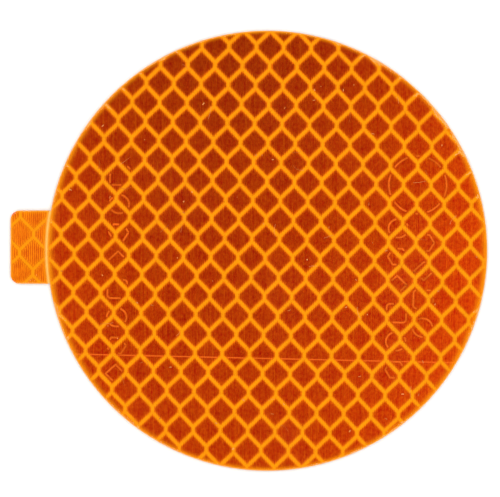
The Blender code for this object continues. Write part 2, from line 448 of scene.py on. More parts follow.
def lattice_mesh(name, outline_of, cells, low, high):
    """The weld: bars between the cells, narrower on top."""
    shell = Shell()
    edge_low = at_height(outline_of(0.0), low)
    edge_high = at_height(outline_of(0.0), high)
    shell.wall(edge_low, edge_high)
    feet = []
    crowns = []
    for cell in cells:
        size = math.sqrt(area(cell))
        side = scaled(cell, 1.0 + SEAL_CLEARANCE / size)
        foot = at_height(side, low)
        neck = at_height(side, high - SEAL_SHOULDER)
        crown = at_height(scaled(cell, 1.0 + (SEAL_CLEARANCE + SEAL_SHOULDER) / size), high)
        shell.wall(foot, neck)
        shell.wall(neck, crown)
        feet.append(foot)
        crowns.append(crown)
    shell.region([edge_low] + feet)
    shell.region([edge_high] + crowns)
    return shell.build(name)


def ruling(point):
    """Distance across the ruling, in half prisms."""
    return point.dot(ALONG_X) / (PRISM_PITCH / 2)


def cut_at_ruling(outline):
    """The outline with a point wherever a ridge or a groove crosses it."""
    result = []
    for start, end in zip(outline, outline[1:] + outline[:1]):
        result.append(start)
        first = ruling(start)
        last = ruling(end)
        lines = list(range(math.floor(min(first, last)) + 1, math.ceil(max(first, last))))
        if last < first:
            lines.reverse()
        for line in lines:
            result.append(start.lerp(end, (line - first) / (last - first)))
    return without_close_points(result, CLOSE_CUTS)


def ridge_height(point, low):
    """Height of the ruled face: ridges point down, grooves reach up almost to the lands."""
    share = abs((ruling(point) % 2.0) - 1.0)
    return low + (PRISM_DEPTH - LAND_STEP) * share


def ruled_film_mesh(name, outline_of, cells, low, high):
    """The film: smooth above, with ridges in the cells and flat lands along the seals.

    Slot 0 is the clear film, slot 1 the prisms, slot 2 the cut edge and slot 3 the lands.
    """
    edge = outline_of(0.0)
    land_height = low + PRISM_DEPTH
    edge_low = at_height(edge, land_height)
    edge_high = at_height(edge, high)
    shell = Shell()
    shell.wall(edge_low, edge_high, 2)
    shell.region([edge_high], 0)
    holes = []
    for cell in cells:
        cut = cut_at_ruling(cell)
        land = at_height(cut, land_height)
        face = [Vector((p.x, p.y, ridge_height(p, low))) for p in cut]
        holes.append(land)
        shell.wall(land, face, 1)
        places = [ruling(p) for p in cut]
        for line in range(math.floor(min(places)), math.ceil(max(places))):
            low_end = line - ON_THE_LINE
            high_end = line + 1.0 + ON_THE_LINE
            strip = [p for p, place in zip(face, places) if low_end <= place <= high_end]
            if len(strip) > 2:
                shell.face(strip, 1)
    shell.region([edge_low] + holes, 3)
    return shell.build(name)


# ---------------------------------------------------------------------------------------------
# Outline marks: plain shapes that lie in the film, just above the prisms of the cells
# ---------------------------------------------------------------------------------------------

# Width of a line's core and of the softer line under it, and how finely a line is followed
MARK_CORE = 0.24 * MM
MARK_BLUR = 0.42 * MM
MARK_STEP = 0.12 * MM
MARK_THICKNESS = 0.006 * MM

# A shape's size, and each column's place across, its first shape's place up, and its count
MARK_WIDTH = 3.4 * MM
MARK_HEIGHT = 3.2 * MM
MARK_SPACING = 4.9 * MM
MARK_CORNER = 0.35
MARK_CORNER_STEPS = 5
ROUND_SIDES = 40
MARK_COLUMNS = (
    (-25.8 * MM, 12.4 * MM, 8),
    (22.6 * MM, 4.4 * MM, 6),
    (27.2 * MM, 2.0 * MM, 4),
)

# The badge's rings: sides, and share of the badge's radius
BADGE_CENTRE = (25.8 * MM, 12.0 * MM)
BADGE_RADIUS = 5.0 * MM
BADGE_RINGS = ((60, 1.0), (6, 0.5))


def soft_square():
    """A square with round corners, two units across."""
    reach = 1.0 - MARK_CORNER
    points = []
    for quarter, centre in enumerate(((reach, reach), (-reach, reach), (-reach, -reach), (reach, -reach))):
        start = quarter * math.pi / 2
        points += arc(MARK_CORNER, start, start + math.pi / 2, MARK_CORNER_STEPS, centre)
    return points


def polygon(sides):
    """A regular polygon, two units across."""
    return arc(1.0, 0.0, 2.0 * math.pi, sides)[:-1]


def placed(shape, centre, width, height):
    """A shape two units across, brought to its size and laid along the lattice."""
    across, up = centre
    return [ALONG_X * (across + p.x * width / 2) + ALONG_Y * (up + p.y * height / 2) for p in shape]


def mark_outlines():
    """Three columns of plain shapes and a round badge with a six-sided one inside."""
    shapes = (soft_square(), polygon(ROUND_SIDES), polygon(6), polygon(4))
    outlines = []
    for first, (across, top, count) in enumerate(MARK_COLUMNS):
        for index in range(count):
            shape = shapes[(index + first) % len(shapes)]
            outlines.append(placed(shape, (across, top - index * MARK_SPACING), MARK_WIDTH, MARK_HEIGHT))
    for sides, share in BADGE_RINGS:
        size = 2.0 * BADGE_RADIUS * share
        outlines.append(placed(polygon(sides), BADGE_CENTRE, size, size))
    return outlines


def is_inside(point, outline):
    """True if the point lies in a convex, anticlockwise outline."""
    for start, end in zip(outline, outline[1:] + outline[:1]):
        run = end - start
        if run.x * (point.y - start.y) - run.y * (point.x - start.x) < 0.0:
            return False
    return True


def stretches_in_cells(outline, cells):
    """The runs of a closed outline that cross the cells, each as a list of points."""
    fine = []
    for start, end in zip(outline, outline[1:] + outline[:1]):
        steps = max(1, math.ceil((end - start).length / MARK_STEP))
        fine += [start.lerp(end, step / steps) for step in range(steps)]
    fine.append(fine[0])
    runs = []
    run = []
    for point in fine:
        if any(is_inside(point, cell) for cell in cells):
            run.append(point)
        else:
            runs.append(run)
            run = []
    runs.append(run)
    return [run for run in runs if len(run) > 2]


def ribbon(shell, run, width, low, high, slot):
    """A thin flat strip along a run of points."""
    left = []
    right = []
    for index, point in enumerate(run):
        ahead = run[min(index + 1, len(run) - 1)] - run[max(index - 1, 0)]
        side = Vector((-ahead.y, ahead.x)).normalized() * (width / 2)
        left.append(point + side)
        right.append(point - side)
    ring = right + left[::-1]
    bottom = at_height(ring, low)
    top = at_height(ring, high)
    shell.wall(bottom, top, slot)
    for flat in (bottom, top):
        for index in range(len(run) - 1):
            far = len(ring) - 1 - index
            shell.face([flat[index], flat[index + 1], flat[far - 1], flat[far]], slot)


def marks_mesh(name, cells, low):
    """Ribbons along the marks, clear of the seal lines: slot 0 the core, slot 1 the line under it."""
    shell = Shell()
    narrowed = [scaled(cell, 1.0 - MARK_BLUR / math.sqrt(area(cell))) for cell in cells]
    middle_height = low + MARK_THICKNESS
    for outline in mark_outlines():
        centre = middle(outline)
        near = [cell for cell in narrowed if (middle(cell) - centre).length < BADGE_RADIUS + CELL_PITCH_Y]
        for run in stretches_in_cells(outline, near):
            ribbon(shell, run, MARK_BLUR, low, middle_height, 1)
            core_low = middle_height + MARK_THICKNESS
            ribbon(shell, run, MARK_CORE, core_low, core_low + MARK_THICKNESS, 0)
    return shell.build(name)


# ---------------------------------------------------------------------------------------------
# Scuffs
# ---------------------------------------------------------------------------------------------

# Count, shortest and longest, narrowest and widest, and the most that each step turns
SPECKS = (60, (0.14 * MM, 0.55 * MM), (0.08 * MM, 0.19 * MM), 0.35)
HAIRS = (26, (0.9 * MM, 2.4 * MM), (0.03 * MM, 0.05 * MM), 0.22)
SCUFF_SEED = 11
SCUFF_STEPS = 6
SCUFF_REACH = 0.95
SCUFF_THICKNESS = 0.004 * MM


def scuffs_mesh(name, low):
    """Specks and hair-fine scratches that lie anywhere in the film."""
    shell = Shell()
    chance = random.Random(SCUFF_SEED)
    for count, lengths, widths, bend in (SPECKS, HAIRS):
        for _ in range(count):
            radius = SCUFF_REACH * DISC_RADIUS * math.sqrt(chance.random())
            place = chance.uniform(0.0, 2.0 * math.pi)
            heading = chance.uniform(0.0, 2.0 * math.pi)
            turn = chance.uniform(-bend, bend)
            length = chance.uniform(*lengths)
            width = chance.uniform(*widths)
            point = Vector((math.cos(place), math.sin(place))) * radius
            run = [point]
            for _ in range(SCUFF_STEPS):
                point = point + Vector((math.cos(heading), math.sin(heading))) * (length / SCUFF_STEPS)
                heading += turn
                run.append(point)
            ribbon(shell, run, width, low, low + SCUFF_THICKNESS, 0)
    return shell.build(name)


# ---------------------------------------------------------------------------------------------
# Materials
# ---------------------------------------------------------------------------------------------

class Graph:
    """Short names for the shader nodes that the materials here are made of."""

    def __init__(self, name):
        self.material = bpy.data.materials.new(name)
        self.material.use_nodes = True
        self.tree = self.material.node_tree
        self.shader = self.tree.nodes["Principled BSDF"]
        self.output = self.tree.nodes["Material Output"]
        self.place = self.tree.nodes.new("ShaderNodeTexCoord").outputs["Object"]

    def node(self, kind, **settings):
        made = self.tree.nodes.new(kind)
        for name, value in settings.items():
            setattr(made, name, value)
        return made

    def feed(self, socket, value):
        if isinstance(value, bpy.types.NodeSocket):
            self.tree.links.new(value, socket)
        else:
            socket.default_value = value

    def maths(self, operation, *values, clamp=False):
        made = self.node("ShaderNodeMath", operation=operation, use_clamp=clamp)
        for socket, value in zip(made.inputs, values):
            self.feed(socket, value)
        return made.outputs[0]

    def along(self, direction):
        """Distance along a direction; two numbers give one in the plane of the sheet."""
        made = self.node("ShaderNodeVectorMath", operation="DOT_PRODUCT")
        self.feed(made.inputs[0], self.place)
        made.inputs[1].default_value = (*direction, 0.0)[:3]
        return made.outputs["Value"]

    def from_centre(self):
        flat = self.node("ShaderNodeVectorMath", operation="MULTIPLY")
        self.feed(flat.inputs[0], self.place)
        flat.inputs[1].default_value = (1.0, 1.0, 0.0)
        length = self.node("ShaderNodeVectorMath", operation="LENGTH")
        self.feed(length.inputs[0], flat.outputs[0])
        return length.outputs["Value"]

    def stretched(self, scale_x, scale_y):
        """Sheet coordinates turned to the lattice and scaled, for patterns that run along it."""
        made = self.node("ShaderNodeMapping")
        self.feed(made.inputs["Vector"], self.place)
        made.inputs["Rotation"].default_value = (0.0, 0.0, -LATTICE_TURN)
        made.inputs["Scale"].default_value = (scale_x, scale_y, 1.0)
        return made.outputs[0]

    def noise(self, scale, detail=2.0, roughness=0.5, vector=None):
        made = self.node("ShaderNodeTexNoise")
        self.feed(made.inputs["Vector"], self.place if vector is None else vector)
        made.inputs["Scale"].default_value = scale
        made.inputs["Detail"].default_value = detail
        made.inputs["Roughness"].default_value = roughness
        return made.outputs["Fac"]

    def ranged(self, value, low, high, to_low=0.0, to_high=1.0, smooth=False):
        made = self.node("ShaderNodeMapRange", interpolation_type="SMOOTHSTEP" if smooth else "LINEAR")
        for socket, item in zip(made.inputs[:5], (value, low, high, to_low, to_high)):
            self.feed(socket, item)
        return made.outputs[0]

    def varied(self, noise, low, high):
        """A noise brought to run from about low to about high."""
        return self.ranged(noise, *NOISE_SPREAD, low, high)

    def mixed(self, share, one, other):
        made = self.node("ShaderNodeMix", data_type="RGBA")
        self.feed(made.inputs["Factor"], share)
        self.feed(made.inputs["A"], colour(one))
        self.feed(made.inputs["B"], colour(other))
        return made.outputs["Result"]

    def brightened(self, shade, factor):
        """A colour times a number that may pass 1."""
        made = self.node("ShaderNodeVectorMath", operation="SCALE")
        self.feed(made.inputs[0], shade)
        self.feed(made.inputs["Scale"], factor)
        return made.outputs[0]

    def bumped(self, height, strength, distance):
        made = self.node("ShaderNodeBump")
        made.inputs["Strength"].default_value = strength
        made.inputs["Distance"].default_value = distance
        self.feed(made.inputs["Height"], height)
        self.feed(self.shader.inputs["Normal"], made.outputs["Normal"])

    def set(self, **values):
        for name, value in values.items():
            self.feed(self.shader.inputs[name.replace("_", " ")], value)


def colour(value):
    """An RGB triple as the four numbers a colour socket holds; sockets pass through."""
    if isinstance(value, tuple) and len(value) == 3:
        return (*value, 1.0)
    return value


# Colours in linear RGB
AMBER = (0.82, 0.278, 0.0030)
# Painted shade: the darker sides of each seal bar; the disc's cells are painted paler towards this colour
# near the seals
SHADED_BAR_AMBER = (0.67, 0.130, 0.0018)
# Painted glow of the seal lattice at the disc's and the tab's cut edge
RIM_GLOW_AMBER = (0.80, 0.36, 0.055)
PRISM_DARK = (0.300, 0.0066, 0.0002)
PRISM_LIGHT = (0.436, 0.0564, 0.0008)
# The tab's cells, painted lighter than the disc's as a glow of light that comes in at its cut edges
TAB_DARK = (0.57, 0.060, 0.0012)
TAB_LIGHT = (0.87, 0.245, 0.0035)
SEAM_SHADE = (0.78, 0.135, 0.012)
MARK_SHADE = (0.74, 0.125, 0.009)
MARK_EDGE_SHADE = (0.55, 0.075, 0.004)
SCUFF_SHADE = (0.90, 0.36, 0.11)
CUT_EDGE = (0.95, 0.36, 0.012)
EDGE_GLOW = (1.0, 0.60, 0.03)
KERF_GLOW = (0.98, 0.56, 0.14)
LINER_CREAM = (0.60, 0.54, 0.41)
ADHESIVE_GREY = (0.56, 0.545, 0.48)
ADHESIVE_OVER_SEAL = (0.50, 0.44, 0.31)
BACKING_WHITE = (0.72, 0.72, 0.69)
FLOOR_WHITE = (0.81, 0.81, 0.81)
BLACK = (0.0, 0.0, 0.0)

# Light that the films lead to their cut edge and into the kerf, as emission strengths
EDGE_LIGHT = 0.6
KERF_LIGHT = 0.4

# Gloss of the faces inside the film and of the clear cover
INNER_GLOSS = 0.05
INNER_GLOSS_TINT = (1.0, 0.35, 0.02, 1.0)
INNER_CLEAR = (1.0, 0.995, 0.985)
COVER_CLEAR = (1.0, 0.99, 0.97)
COVER_ROUGHNESS = (0.07, 0.16)
COVER_HEAD_ON = ((1.42 - 1.0) / (1.42 + 1.0)) ** 2
COVER_AT_GRAZING = 0.38

# Where nearly all values of a noise lie
NOISE_SPREAD = (0.3, 0.7)

# Thread patterns: threads to the metre across the ruling and along it
LONG_THREADS = (4300.0, 22.0)
BROAD_THREADS = (2300.0, 60.0)
SHORT_THREADS = (3200.0, 1500.0)
# The brightest threads are painted glints: lengths of groove roots that catch the light
GLINT_THREADS = (2915.0, 170.0)
RAGGED_THREADS = (4300.0, 900.0)
TAB_LONG_THREADS = (4300.0, 60.0)
TAB_SHORT_THREADS = (4300.0, 1500.0)

# How far the soft borders of painted shade and glow reach
WELD_CORE = 0.24 * MM
RIM_GLOW_WIDTH = 0.26 * MM
CELL_GLOW_REACH = 0.115 * MM
TAB_CELL_GLOW_REACH = 0.13 * MM
TAB_GLOW_REACH = 0.45 * MM
KERF_GLOW_REACH = (0.35 * MM, 0.15 * MM)
KERF_END_FADE = 0.2 * MM


def cell_depth(g):
    """How far a point lies inside its lattice cell: negative on a seal line."""
    half_pitch_x = CELL_PITCH_X / 2
    half_pitch_y = CELL_PITCH_Y / 2
    half_x = half_pitch_x - SEAL_WIDTH / 2
    apex_y = (half_pitch_x + half_pitch_y) / 2 - SEAL_WIDTH / math.sqrt(2.0)
    across = g.maths("PINGPONG", g.maths("SUBTRACT", g.along(ALONG_X), LATTICE_START.x), half_pitch_x)
    up = g.maths("PINGPONG", g.maths("SUBTRACT", g.along(ALONG_Y), LATTICE_START.y), half_pitch_y)
    other_across = g.maths("SUBTRACT", half_pitch_x, across)
    other_up = g.maths("SUBTRACT", half_pitch_y, up)
    depths = []
    for a, b in ((across, up), (other_across, other_up)):
        slant = g.maths("MULTIPLY", g.maths("SUBTRACT", apex_y, g.maths("ADD", a, b)), math.sqrt(0.5))
        depths.append(g.maths("MINIMUM", g.maths("SUBTRACT", half_x, a), slant))
    return g.maths("MAXIMUM", *depths)


def threads(g, pattern):
    """Noise about 0, drawn out along the ruling."""
    return g.maths("SUBTRACT", g.noise(1.0, 1.0, 0.5, g.stretched(*pattern)), 0.5)


def ridges(g):
    """1 in a groove and -1 on a ridge."""
    return g.maths("COSINE", g.maths("MULTIPLY", g.along(ALONG_X), 2.0 * math.pi / PRISM_PITCH))


def weighted(g, start, *parts):
    """start plus each (weight, value)."""
    total = start
    for weight, value in parts:
        total = g.maths("MULTIPLY_ADD", value, weight, total)
    return total


def clamped(g, value):
    """The value, kept between 0 and 1."""
    return g.maths("ADD", value, 0.0, clamp=True)


def fading(g, depth, reach):
    """1 up to depth 0, then falling off as fast as reach says."""
    return g.maths("EXPONENT", g.maths("DIVIDE", g.maths("MAXIMUM", depth, 0.0), -reach))


def glowing(g, depth, reach):
    """1 up to depth 0, then falling off on a bell curve that reach widens."""
    share = g.maths("DIVIDE", g.maths("MAXIMUM", depth, 0.0), reach)
    return g.maths("EXPONENT", g.maths("MULTIPLY", g.maths("MULTIPLY", share, share), -1.0))


def inside_finish(g, roughness_scale):
    """Faces seen through the amber film: what little they mirror is amber too."""
    g.set(Roughness=g.varied(g.noise(roughness_scale), 0.42, 0.6))
    g.shader.inputs["Specular IOR Level"].default_value = INNER_GLOSS
    g.shader.inputs["Specular Tint"].default_value = INNER_GLOSS_TINT


def disc_edge_depth(g):
    """Distance from the disc's cut edge."""
    return g.maths("SUBTRACT", DISC_RADIUS, g.from_centre())


def tab_edge_depth(g):
    """Distance from the nearest of the tab's cut edges."""
    x = g.along((1.0, 0.0))
    y = g.along((0.0, 1.0))
    to_end = g.maths("SUBTRACT", x, TAB_LOW.x)
    to_top = g.maths("SUBTRACT", TAB_HIGH.y, y)
    to_bottom = g.maths("SUBTRACT", y, TAB_LOW.y)
    to_kerf = g.maths("SUBTRACT", g.from_centre(), KERF_OUTER_RADIUS)
    return g.maths("MINIMUM", g.maths("MINIMUM", to_end, to_kerf), g.maths("MINIMUM", to_top, to_bottom))


def seal_material(name, edge_depth):
    """Welded film over white: bright amber, with painted shade that makes each bar deeper at its sides and
    a painted glow that makes it palest at the cut edge.
    """
    g = Graph(name)
    ragged = weighted(g, cell_depth(g), (0.06 * MM, ridges(g)), (0.25 * MM, threads(g, RAGGED_THREADS)))
    core = g.ranged(ragged, 0.0, -WELD_CORE)
    at_edge = g.ranged(edge_depth(g), EDGE_SEAL * 1.9, EDGE_SEAL * 0.9, smooth=True)
    # Painted shade: each bar is darker at its sides and full amber in its core and along the edge seal
    weld = g.mixed(g.maths("MAXIMUM", core, at_edge), SHADED_BAR_AMBER, AMBER)
    # Painted glow: the seal paler and yellower towards the cut edge
    shade = g.mixed(g.ranged(edge_depth(g), RIM_GLOW_WIDTH, 0.0), weld, RIM_GLOW_AMBER)
    mottle = g.varied(g.noise(900.0, 3.0, 0.6), 0.95, 1.05)
    fine = g.varied(g.noise(5200.0, 2.0), 0.97, 1.03)
    g.set(Base_Color=g.brightened(shade, g.maths("MULTIPLY", mottle, fine)))
    inside_finish(g, 1500.0)
    g.bumped(g.noise(3000.0, 2.0), 0.2, 0.01 * MM)
    return g.material


def flecks(g, size, share):
    """A share of small round spots, about one size apart: 1 inside a spot."""
    spots = g.node("ShaderNodeTexVoronoi", feature="F1")
    g.feed(spots.inputs["Vector"], g.place)
    spots.inputs["Scale"].default_value = 1.0 / size
    near = g.ranged(spots.outputs["Distance"], 0.10, 0.045, smooth=True)
    chosen = g.maths("GREATER_THAN", spots.outputs["Color"], 1.0 - share)
    return g.maths("MULTIPLY", near, chosen)


def broad_light(g):
    """Painted light over the disc's cells: overall brightness, lightest at the right and at the bottom."""
    x = g.along((1.0, 0.0))
    y = g.along((0.0, 1.0))
    return weighted(g, 1.0, (4.8, x), (-5.4, y), (290.0, g.maths("MULTIPLY", x, x)))


def edge_glow(g):
    """Light from the cut edge, which reaches furthest in at the right and left."""
    safe_radius = g.maths("MAXIMUM", g.from_centre(), 1.0 * MM)
    sideways = g.maths("DIVIDE", g.along((1.0, 0.0)), safe_radius)
    upwards = g.maths("DIVIDE", g.along((0.0, 1.0)), safe_radius)
    reach = weighted(g, 0.45 * MM, (0.29 * MM, g.maths("MULTIPLY", sideways, sideways)),
                     (0.005 * MM, sideways), (-0.05 * MM, upwards))
    return glowing(g, disc_edge_depth(g), reach)


def prism_material():
    """Cells of the disc: dark red amber with thread-like streaks and painted glints along them, and a
    painted glow that makes them paler towards seals and cut edge.
    """
    g = Graph("prism_red")
    mottle = g.maths("SUBTRACT", g.noise(700.0, 2.0), 0.5)
    grain = g.maths("SUBTRACT", g.noise(1900.0, 1.0), 0.5)
    # Painted glints along the ruling, where groove roots catch the light
    glint_threads = g.ranged(threads(g, GLINT_THREADS), 0.13, 0.25)
    # The small negative weight on the ridges paints them a little lighter, against the shade that the ruled
    # geometry gives them
    tone = weighted(g, 0.47, (0.6, threads(g, LONG_THREADS)), (0.6, threads(g, BROAD_THREADS)),
                    (0.6, threads(g, SHORT_THREADS)), (0.6, mottle), (1.1, grain), (-0.05, ridges(g)),
                    (0.55, glint_threads))
    shade = g.mixed(clamped(g, tone), PRISM_DARK, PRISM_LIGHT)
    # Painted light: the cells lighter at the right and at the bottom
    base = g.brightened(shade, broad_light(g))

    # Painted glow: the cells grow paler towards the seal lines
    ragged = weighted(g, cell_depth(g), (0.07 * MM, ridges(g)), (0.35 * MM, threads(g, RAGGED_THREADS)))
    bordered = g.mixed(fading(g, ragged, CELL_GLOW_REACH), base, SHADED_BAR_AMBER)

    seam = g.maths("ABSOLUTE", g.maths("SUBTRACT", g.along(ALONG_Y), SEAM_HEIGHT))
    seam_share = g.ranged(seam, SEAM_WIDTH * 0.7, SEAM_WIDTH * 0.3, 0.0, 0.85, smooth=True)
    seamed = g.mixed(seam_share, bordered, SEAM_SHADE)
    # Painted glow: the cells paler towards the cut edge
    g.set(Base_Color=g.mixed(edge_glow(g), seamed, AMBER))
    inside_finish(g, 2400.0)
    return g.material


def tab_prism_material():
    """Cells of the tab, painted as a glow: light comes in from cut edges all round, so they glow orange."""
    g = Graph("prism_orange")
    mottle = g.maths("SUBTRACT", g.noise(500.0, 2.0), 0.5)
    # Painted shade on the ridges and painted light in the grooves, as stripes along the ruling
    tone = weighted(g, 0.5, (0.8, threads(g, TAB_LONG_THREADS)), (0.8, threads(g, TAB_SHORT_THREADS)),
                    (1.0, mottle), (0.5, ridges(g)))
    base = g.mixed(clamped(g, tone), TAB_DARK, TAB_LIGHT)
    # Painted glow towards the seal lines and, stronger, towards the tab's cut edges
    border = fading(g, cell_depth(g), TAB_CELL_GLOW_REACH)
    glow = glowing(g, tab_edge_depth(g), TAB_GLOW_REACH)
    g.set(Base_Color=g.mixed(g.maths("MAXIMUM", glow, g.maths("MULTIPLY", border, 0.7)), base, AMBER))
    inside_finish(g, 2400.0)
    return g.material


def mark_material(name, shade):
    """Paler than the prisms, as where they are pressed flat; it comes and goes along each line."""
    g = Graph(name)
    faint = g.ranged(g.noise(330.0, 2.0), 0.40, 0.64, 0.0, 0.5)
    worn = g.mixed(faint, shade, PRISM_LIGHT)
    level = g.varied(g.noise(1400.0, 2.0), 0.86, 1.12)
    g.set(Base_Color=g.brightened(worn, level))
    inside_finish(g, 2000.0)
    return g.material


def scuff_material():
    """Paler than the film; some scuffs stand out more than others."""
    g = Graph("scuff_pale")
    faint = g.ranged(g.noise(160.0, 1.0), 0.42, 0.60, 0.75, 0.0)
    g.set(Base_Color=g.mixed(faint, SCUFF_SHADE, PRISM_LIGHT))
    inside_finish(g, 2000.0)
    return g.material


def cut_edge_material():
    """The cut edge of the amber films, which glows because light leaves the film there."""
    g = Graph("cut_edge_amber")
    level = g.varied(g.noise(1100.0, 3.0), 0.86, 1.05)
    g.set(Base_Color=g.brightened(CUT_EDGE, level), Emission_Color=g.brightened(EDGE_GLOW, level),
          Roughness=g.varied(g.noise(2500.0), 0.30, 0.5))
    g.shader.inputs["Emission Strength"].default_value = EDGE_LIGHT
    return g.material


def cover_material():
    """Clear film: what is below shows through, and the surface mirrors more at a flat angle."""
    g = Graph("cover_gloss")
    clear = g.node("ShaderNodeBsdfTransparent")
    clear.inputs["Color"].default_value = (*COVER_CLEAR, 1.0)
    mirror = g.node("ShaderNodeBsdfGlossy")
    smears = g.ranged(g.noise(60.0, 4.0, 0.6), 0.35, 0.7, *COVER_ROUGHNESS)
    g.feed(mirror.inputs["Roughness"], smears)
    facing = g.node("ShaderNodeLayerWeight")
    facing.inputs["Blend"].default_value = 0.5
    grazing = g.maths("POWER", facing.outputs["Facing"], 5.0)
    mirrored = g.maths("MULTIPLY_ADD", grazing, COVER_AT_GRAZING - COVER_HEAD_ON, COVER_HEAD_ON)
    blend = g.node("ShaderNodeMixShader")
    g.feed(blend.inputs[0], mirrored)
    g.feed(blend.inputs[1], clear.outputs[0])
    g.feed(blend.inputs[2], mirror.outputs[0])
    g.feed(g.output.inputs["Surface"], blend.outputs[0])
    g.tree.nodes.remove(g.shader)
    return g.material


def inner_material():
    """An inner face of clear film, bonded to the next, so that it mirrors nothing."""
    g = Graph("film_clear")
    clear = g.node("ShaderNodeBsdfTransparent")
    haze = g.varied(g.noise(400.0, 2.0), 0.985, 1.0)
    g.feed(clear.inputs["Color"], g.brightened(INNER_CLEAR, haze))
    g.feed(g.output.inputs["Surface"], clear.outputs[0])
    g.tree.nodes.remove(g.shader)
    return g.material


def in_kerf(g):
    """1 where the liner's top shows in the kerf between disc and tab."""
    kerf_radius = (DISC_RADIUS + KERF_OUTER_RADIUS) / 2
    from_kerf = g.maths("ABSOLUTE", g.maths("SUBTRACT", g.from_centre(), kerf_radius))
    tab_middle = (TAB_LOW.y + TAB_HIGH.y) / 2
    half_width = (TAB_HIGH.y - TAB_LOW.y) / 2
    from_middle = g.maths("ABSOLUTE", g.maths("SUBTRACT", g.along((0.0, 1.0)), tab_middle))
    beside_tab = g.ranged(from_middle, half_width, half_width - KERF_END_FADE)
    left_side = g.maths("LESS_THAN", g.along((1.0, 0.0)), 0.0)
    low, high = heights("release_liner")
    on_top = g.maths("GREATER_THAN", g.along((0.0, 0.0, 1.0)), (low + high) / 2)
    share = g.ranged(from_kerf, *KERF_GLOW_REACH, smooth=True)
    for mask in (beside_tab, left_side, on_top):
        share = g.maths("MULTIPLY", share, mask)
    return share


def liner_material():
    """Siliconised glassine: cream, faintly fibrous, with a soft shine; the kerf glows with edge light."""
    g = Graph("liner_paper")
    fibre = g.noise(1.0, 4.0, 0.65, g.stretched(2100.0, 620.0))
    cloud = g.noise(140.0, 3.0)
    fibre_level = g.varied(fibre, 0.975, 1.01)
    cloud_level = g.varied(cloud, 0.98, 1.01)
    plain = g.brightened(LINER_CREAM, g.maths("MULTIPLY", fibre_level, cloud_level))
    lit = in_kerf(g)
    g.set(Base_Color=g.mixed(lit, plain, KERF_GLOW), Emission_Color=g.mixed(lit, BLACK, KERF_GLOW),
          Roughness=g.varied(fibre, 0.34, 0.48))
    g.shader.inputs["Emission Strength"].default_value = KERF_LIGHT
    g.bumped(fibre, 0.2, 0.01 * MM)
    return g.material


def adhesive_material():
    """Soft acrylic adhesive over white film: wet-looking, with the seal lines showing through."""
    g = Graph("adhesive_grey")
    cloud = g.noise(260.0, 3.0)
    bubbles = flecks(g, 1.1 * MM, 0.35)
    in_cell = g.ranged(cell_depth(g), -0.15 * MM, 0.25 * MM, smooth=True)
    through = g.mixed(in_cell, ADHESIVE_OVER_SEAL, ADHESIVE_GREY)
    clouded = g.brightened(through, g.varied(cloud, 0.95, 1.03))
    shade = g.mixed(g.maths("MULTIPLY", bubbles, 0.5), clouded, ADHESIVE_OVER_SEAL)
    g.set(Base_Color=shade, Roughness=g.varied(cloud, 0.22, 0.36))
    g.shader.inputs["Coat Weight"].default_value = 0.3
    g.shader.inputs["Coat Roughness"].default_value = 0.15
    g.bumped(g.maths("SUBTRACT", g.noise(900.0, 2.0), bubbles), 0.15, 0.02 * MM)
    return g.material


def backing_material():
    """White backing film."""
    g = Graph("backing_white")
    cloud = g.noise(500.0, 3.0)
    g.set(Base_Color=g.brightened(BACKING_WHITE, g.varied(cloud, 0.96, 1.02)),
          Roughness=g.varied(cloud, 0.4, 0.55))
    g.bumped(g.noise(1800.0), 0.15, 0.01 * MM)
    return g.material


# ---------------------------------------------------------------------------------------------
# The object
# ---------------------------------------------------------------------------------------------

def set_out(piece, body, slot, *nodes):
    """The piece rides on a body and stands for its CAD nodes; slot is not used."""
    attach(piece, body)
    if nodes:
        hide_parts(*nodes)


def build_sheeting(prefix, body, outline_of, cells, nodes, prism_face, seal, shared):
    """The five layers of sheeting above the liner, from the adhesive up."""
    adhesive, backing, lattice, film, cover = nodes

    low, high = heights(adhesive)
    mesh = quilted_sheet_mesh(prefix + "adhesive_coat", outline_of, cells, high, low, ADHESIVE_QUILT_HEIGHT)
    piece = add_piece(mesh, [shared["adhesive"]] * 3, smooth=True)
    set_out(piece, body, "adhesive", adhesive)

    mesh = plain_sheet_mesh(prefix + "backing", outline_of, *heights(backing))
    piece = add_piece(mesh, [shared["backing"]], smooth=True)
    set_out(piece, body, "backing_film", backing)

    low = heights(lattice)[0]
    high = heights(film)[0] + PRISM_DEPTH - LAYER_GAP
    mesh = lattice_mesh(prefix + "weld_lattice", outline_of, cells, low, high)
    piece = add_piece(mesh, [seal])
    set_out(piece, body, "seal_lattice", lattice)

    mesh = ruled_film_mesh(prefix + "ruled_film", outline_of, cells, *heights(film))
    piece = add_piece(mesh, [shared["inner"], prism_face, shared["edge"], seal])
    set_out(piece, body, "prism_film", film)

    low, high = heights(cover)
    mesh = quilted_sheet_mesh(prefix + "clear_cover", outline_of, cells, low, high, QUILT_HEIGHT)
    piece = add_piece(mesh, [shared["gloss"], shared["inner"], shared["edge"]], smooth=True)
    set_out(piece, body, "cover_film", cover)


# The strip of liner across the tab's root, and how many facets it is cut into
BEND_START_X = -DISC_RADIUS
BEND_END_X = -DISC_RADIUS - 0.45 * MM
BEND_FACETS = 10


def build_liner(material):
    """One sheet under disc and tab, cut into facets across the tab's root."""
    low, high = heights("release_liner")
    bottom = at_height(liner_outline(), low)
    top = at_height(liner_outline(), high)
    shell = Shell()
    shell.wall(bottom, top)
    shell.region([bottom])
    shell.region([top])
    mesh = shell.build("liner_sheet")
    work = bmesh.new()
    work.from_mesh(mesh)
    for cut in range(BEND_FACETS + 1):
        x = BEND_START_X + (BEND_END_X - BEND_START_X) * cut / BEND_FACETS
        everything = work.verts[:] + work.edges[:] + work.faces[:]
        bmesh.ops.bisect_plane(work, geom=everything, plane_co=(x, 0.0, 0.0), plane_no=(1.0, 0.0, 0.0))
    work.to_mesh(mesh)
    work.free()
    liner = add_piece(mesh, [material], smooth=True)
    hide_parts("release_liner", "liner_tab")
    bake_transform(liner)


